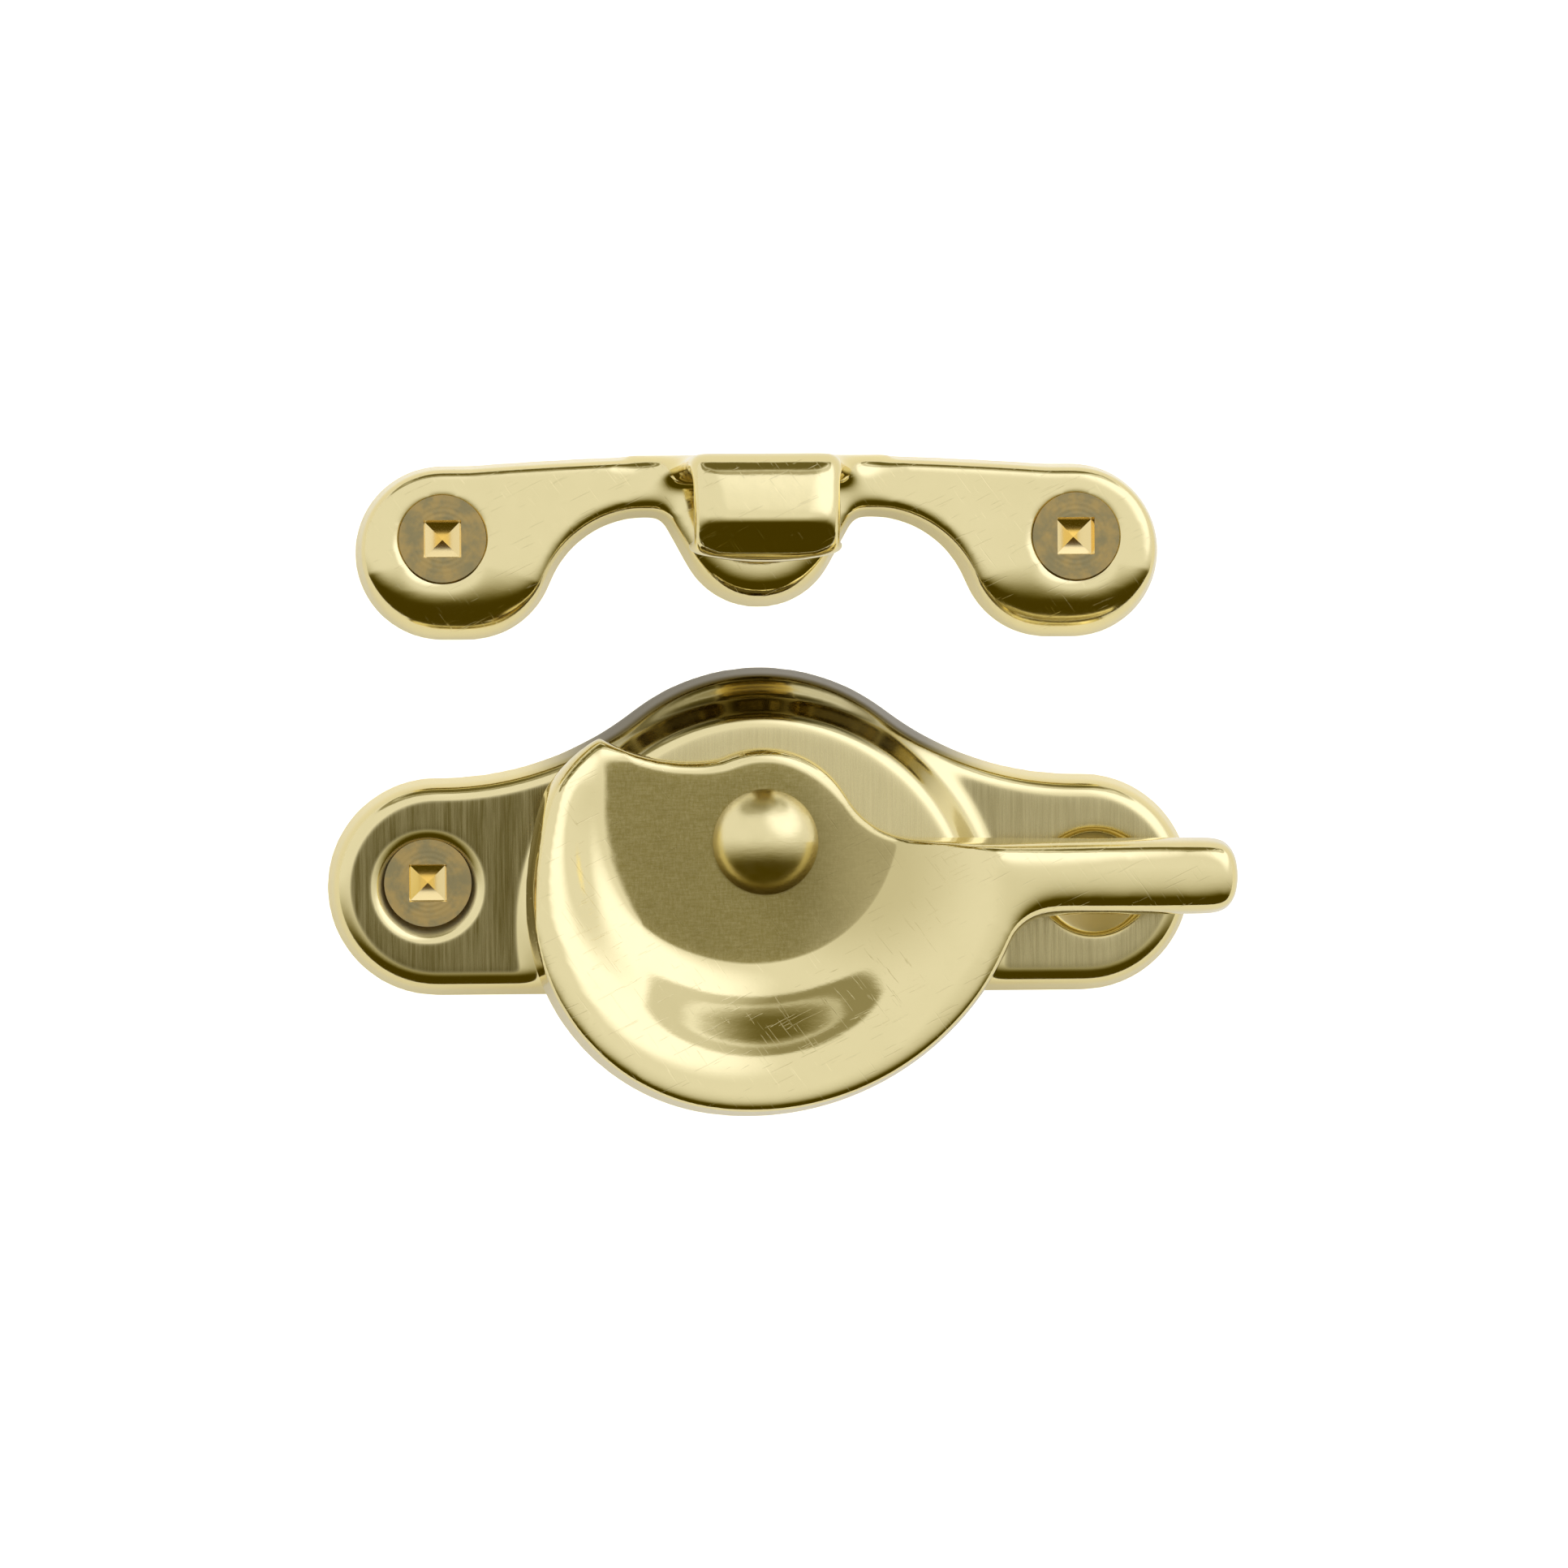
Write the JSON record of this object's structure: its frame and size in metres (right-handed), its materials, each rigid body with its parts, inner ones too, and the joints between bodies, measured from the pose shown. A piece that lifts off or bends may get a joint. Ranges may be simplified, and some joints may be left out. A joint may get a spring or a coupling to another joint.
{
  "type": "sash lock",
  "caption": "Cast brass fitch sash lock: a dished cam lever turning on a screw-down base, with a separate hooked keep plate that the cam's rim slides under.",
  "frame": {"origin": "the pivot axis of the cam, in the plane where both castings sit on the wood", "axes": "+X along the base, the way the lever points at rest; +Y from the lock towards the keep; +Z away from the wood"},
  "size_m": [0.0731, 0.0533, 0.0322],
  "materials": {
    "brass": "polished and lacquered, lightly scratched",
    "washer_steel": "plain",
    "screw_steel": "yellow zinc plated"
  },
  "bodies": {
    "base": {"lock_base": "brass", "pivot_rivet": "brass", "spring_washer": "washer_steel", "backing_washer": "washer_steel", "keep": "brass", "base_screw_left": "screw_steel", "keep_screw_left": "screw_steel", "keep_screw_right": "screw_steel"},
    "cam": {"cam_lever": "brass"}
  },
  "joints": [
    {"name": "cam_turn", "type": "hinge", "parent": "base", "child": "cam", "pos_m": [0, 0, 0.0089], "axis": [0, 0, 1], "range_deg": [-180, 0]}
  ]
}
